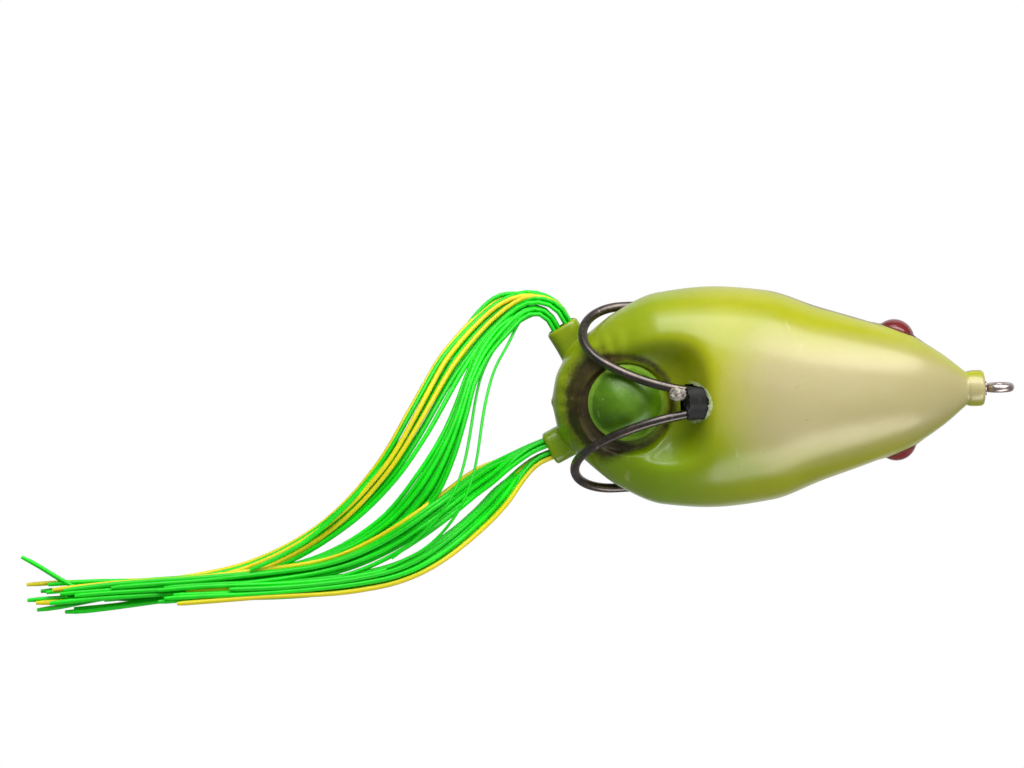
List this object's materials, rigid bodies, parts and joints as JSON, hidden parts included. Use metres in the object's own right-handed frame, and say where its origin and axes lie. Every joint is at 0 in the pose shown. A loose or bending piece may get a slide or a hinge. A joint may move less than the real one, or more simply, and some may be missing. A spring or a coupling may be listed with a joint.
{
  "type": "hollow-body frog fishing lure",
  "caption": "Hollow soft frog lure with a pointed nose and line-tie eye, a double hook hugging its flanks, red domed eyes, a rear belly weight and two strand skirts.",
  "frame": {"origin": "centre of the hole in the line-tie eye at the nose", "axes": "+X from the tail to the nose, +Y to the lure's left, +Z to its back, as it floats or rests on its belly"},
  "size_m": [0.1376, 0.044, 0.0224],
  "materials": {
    "body_skin": "soft PVC skin, chartreuse flanks, cream belly, olive back, satin to glossy",
    "hook_steel": "black nickel plated wire, glossy",
    "sleeve_black": "black heat-shrink tube",
    "set_glue": "set glue, greyish",
    "weight_paint": "green gloss paint over lead, lightly scuffed",
    "ring_brass": "plain brass washer",
    "eye_rim": "dark red plastic cup",
    "eye_foil": "red metallic foil with a dark pupil",
    "eye_dome": "red tinted clear resin dome",
    "band_steel": "crimped steel band",
    "strand_green": "bright green silicone strand, satin",
    "strand_yellow": "yellow silicone strand, satin"
  },
  "bodies": {
    "body": {"body_shell": "body_skin", "eye_cup_left": "eye_rim", "eye_cup_right": "eye_rim", "eye_foil_left": "eye_foil", "eye_foil_right": "eye_foil", "eye_dome_left": "eye_dome", "eye_dome_right": "eye_dome", "skirt_band_left": "band_steel", "skirt_band_right": "band_steel"},
    "hook": {"double_hook": "hook_steel", "hook_sleeve": "sleeve_black", "hook_glue": "set_glue", "nose_seal": "set_glue"},
    "weight": {"tail_weight": "weight_paint", "weight_ring": "ring_brass"},
    "skirt_left": {"skirt_left_inner": "strand_green", "skirt_left_outer": "strand_green"},
    "skirt_right": {"skirt_right_inner": "strand_green", "skirt_right_outer": "strand_yellow"}
  },
  "joints": [
    {"name": "hook_set", "type": "hinge", "parent": "body", "child": "hook", "pos_m": [0, 0, 0], "axis": [0, 1, 0], "range_deg": [0, 2], "stiffness_Nm_per_rad": 0.15, "deforming": ["body_shell"]},
    {"name": "weight_rise", "type": "hinge", "parent": "body", "child": "weight", "pos_m": [0, 0, 0], "axis": [0, 1, 0], "range_deg": [0, 2], "deforming": ["body_shell"]},
    {"name": "left_skirt_swing", "type": "hinge", "parent": "body", "child": "skirt_left", "pos_m": [-0.0626, 0.007, 0.0038], "axis": [0, 0, 1], "range_deg": [-12, 0], "stiffness_Nm_per_rad": 0.0005},
    {"name": "right_skirt_swing", "type": "hinge", "parent": "body", "child": "skirt_right", "pos_m": [-0.0604, -0.0103, 0.0038], "axis": [0, 0, 1], "range_deg": [0, 15], "stiffness_Nm_per_rad": 0.0005}
  ],
  "couplings": [
    {"joint": "weight_rise", "follows": "hook_set", "ratio": 1}
  ]
}
